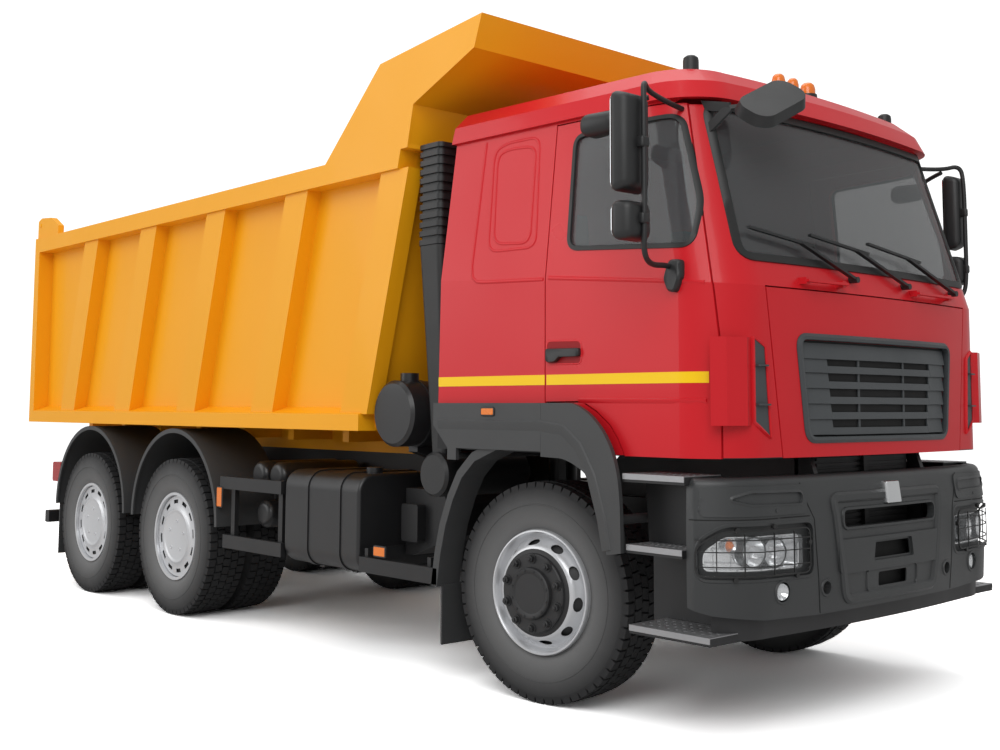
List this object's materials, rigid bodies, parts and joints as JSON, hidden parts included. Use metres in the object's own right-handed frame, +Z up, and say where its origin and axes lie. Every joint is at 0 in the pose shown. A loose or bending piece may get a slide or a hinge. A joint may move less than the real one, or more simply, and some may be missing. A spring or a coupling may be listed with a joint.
{
  "type": "dump truck",
  "caption": "Three-axle cab-over tipper truck with tilting cab, opening doors, steered front wheels, tipping body, top-hung tailgate and telescopic front hoist.",
  "frame": {"origin": "on the ground under the middle of the overall length, on the centre line", "axes": "+X forward, +Y to the truck's left, +Z up"},
  "size_m": [7.6, 3.1, 3.502],
  "materials": {
    "barrel_yellow": "yellow paint",
    "body_yellow": "semi-gloss yellow paint",
    "cab_paint": "glossy red paint",
    "cabin_trim": "dark trim",
    "cast_dark": "dark cast iron",
    "engine_grey": "cast engine grey",
    "frame_black": "satin black paint",
    "glass_tint": "clear tinted glass",
    "grey_plastic": "moulded dark grey plastic",
    "lamp_lens": "clear lamp lens",
    "marker_amber": "amber lens on black base",
    "mirror_black": "black mirror shells",
    "rad_core": "dull core",
    "rim_silver": "silver paint",
    "rod_steel": "ground and plated steel",
    "tail_lens": "red lamp lens",
    "tyre_rubber": "matt tread rubber"
  },
  "bodies": {
    "chassis": {"chassis_frame": "frame_black", "subframe": "frame_black", "engine_block": "engine_grey", "radiator": "rad_core", "front_axle_beam": "cast_dark", "front_springs": "frame_black", "drive_axles": "cast_dark", "rear_springs": "frame_black", "propshafts": "frame_black", "fuel_tank": "frame_black", "hydraulic_tank": "frame_black", "air_cleaner": "grey_plastic", "air_tanks": "frame_black", "equipment_box": "frame_black", "silencer": "frame_black", "side_guards": "frame_black", "rear_mudguards": "frame_black", "tail_lamps": "tail_lens", "bumper": "grey_plastic", "skid_plate": "grey_plastic", "front_lamps": "lamp_lens", "cab_steps": "grey_plastic", "front_fenders": "grey_plastic", "fender_tops": "grey_plastic"},
    "cab": {"cab_shell": "cab_paint", "front_panel": "cab_paint", "grille": "grey_plastic", "corner_deflectors": "cab_paint", "windscreen": "glass_tint", "wipers": "mirror_black", "cabin_interior": "cabin_trim", "roof_lights": "marker_amber", "front_mirror": "mirror_black"},
    "door_right": {"door_right": "cab_paint", "door_glass_right": "glass_tint", "door_mirrors_right": "mirror_black"},
    "steering_right": {"knuckle_right": "cast_dark"},
    "front_wheel_right": {"front_tyre_right": "tyre_rubber", "front_rim_right": "rim_silver"},
    "middle_wheels_right": {"middle_tyres_right": "tyre_rubber", "middle_rims_right": "rim_silver"},
    "rear_wheels_right": {"rear_tyres_right": "tyre_rubber", "rear_rims_right": "rim_silver"},
    "door_left": {"door_left": "cab_paint", "door_glass_left": "glass_tint", "door_mirrors_left": "mirror_black"},
    "steering_left": {"knuckle_left": "cast_dark"},
    "front_wheel_left": {"front_tyre_left": "tyre_rubber", "front_rim_left": "rim_silver"},
    "middle_wheels_left": {"middle_tyres_left": "tyre_rubber", "middle_rims_left": "rim_silver"},
    "rear_wheels_left": {"rear_tyres_left": "tyre_rubber", "rear_rims_left": "rim_silver"},
    "track_rod": {"tie_rod": "frame_black"},
    "tipper": {"bed": "body_yellow"},
    "tailgate": {"tailgate": "body_yellow"},
    "hoist_barrel": {"hoist_barrel": "barrel_yellow"},
    "hoist_stage_1": {"hoist_stage_1": "rod_steel"},
    "hoist_stage_2": {"hoist_stage_2": "rod_steel"},
    "hoist_stage_3": {"hoist_stage_3": "rod_steel"}
  },
  "joints": [
    {"name": "steer_right", "type": "hinge", "parent": "chassis", "child": "steering_right", "pos_m": [2.44, -0.845, 0.54], "axis": [0, 0, 1], "range_deg": [-38.5, 25.5]},
    {"name": "steer_left", "type": "hinge", "parent": "chassis", "child": "steering_left", "pos_m": [2.44, 0.845, 0.54], "axis": [0, 0, 1], "range_deg": [-38.5, 25.5]},
    {"name": "track_rod", "type": "hinge", "parent": "steering_left", "child": "track_rod", "pos_m": [2.25619, 0.82406, 0.383], "axis": [0, 0, 1], "range_deg": [-25.5, 38.5]},
    {"name": "front_wheel_right", "type": "hinge", "parent": "steering_right", "child": "front_wheel_right", "pos_m": [2.45189, -0.94933, 0.54], "axis": [-0.1132, 0.9936, 0], "continuous": true},
    {"name": "front_wheel_left", "type": "hinge", "parent": "steering_left", "child": "front_wheel_left", "pos_m": [2.42811, 0.94933, 0.54], "axis": [-0.1132, 0.9936, 0], "continuous": true},
    {"name": "middle_wheels_right", "type": "hinge", "parent": "chassis", "child": "middle_wheels_right", "pos_m": [-1.11, -1.096, 0.54], "axis": [0, 1, 0], "continuous": true},
    {"name": "middle_wheels_left", "type": "hinge", "parent": "chassis", "child": "middle_wheels_left", "pos_m": [-1.11, 1.096, 0.54], "axis": [0, 1, 0], "continuous": true},
    {"name": "rear_wheels_right", "type": "hinge", "parent": "chassis", "child": "rear_wheels_right", "pos_m": [-2.51, -1.096, 0.54], "axis": [0, 1, 0], "continuous": true},
    {"name": "rear_wheels_left", "type": "hinge", "parent": "chassis", "child": "rear_wheels_left", "pos_m": [-2.51, 1.096, 0.54], "axis": [0, 1, 0], "continuous": true},
    {"name": "cab_tilt", "type": "hinge", "parent": "chassis", "child": "cab", "pos_m": [3.645, 0, 1.105], "axis": [0, 1, 0], "range_deg": [0, 50]},
    {"name": "door_right", "type": "hinge", "parent": "cab", "child": "door_right", "pos_m": [3.612, -1.118, 1.7], "axis": [0, 0, 1], "range_deg": [0, 75]},
    {"name": "door_left", "type": "hinge", "parent": "cab", "child": "door_left", "pos_m": [3.612, 1.118, 1.7], "axis": [0, 0, -1], "range_deg": [0, 75]},
    {"name": "bed_tilt", "type": "hinge", "parent": "chassis", "child": "tipper", "pos_m": [-3.16, 0, 1.08], "axis": [0, -1, 0], "range_deg": [0, 45]},
    {"name": "tailgate", "type": "hinge", "parent": "tipper", "child": "tailgate", "pos_m": [-3.75, 0, 3.02], "axis": [0, 1, 0], "range_deg": [0, 85]},
    {"name": "hoist_swing", "type": "hinge", "parent": "chassis", "child": "hoist_barrel", "pos_m": [1.52, 0, 0.85], "axis": [0, -1, 0], "range_deg": [0, 30]},
    {"name": "hoist_stage_1", "type": "slide", "parent": "hoist_barrel", "child": "hoist_stage_1", "axis": [0.0375, 0, 0.9993], "range_m": [0, 1.18]},
    {"name": "hoist_stage_2", "type": "slide", "parent": "hoist_stage_1", "child": "hoist_stage_2", "axis": [0.0375, 0, 0.9993], "range_m": [0, 1.18]},
    {"name": "hoist_stage_3", "type": "slide", "parent": "hoist_stage_2", "child": "hoist_stage_3", "axis": [0.0375, 0, 0.9993], "range_m": [0, 1.18]}
  ],
  "couplings": [
    {"joint": "steer_left", "follows": "steer_right", "ratio": 1},
    {"joint": "track_rod", "follows": "steer_right", "ratio": -1},
    {"joint": "hoist_swing", "follows": "bed_tilt", "ratio": 0.64294},
    {"joint": "hoist_stage_1", "follows": "bed_tilt", "m_per_rad": 1.4838},
    {"joint": "hoist_stage_2", "follows": "bed_tilt", "m_per_rad": 1.4838},
    {"joint": "hoist_stage_3", "follows": "bed_tilt", "m_per_rad": 1.4838}
  ]
}
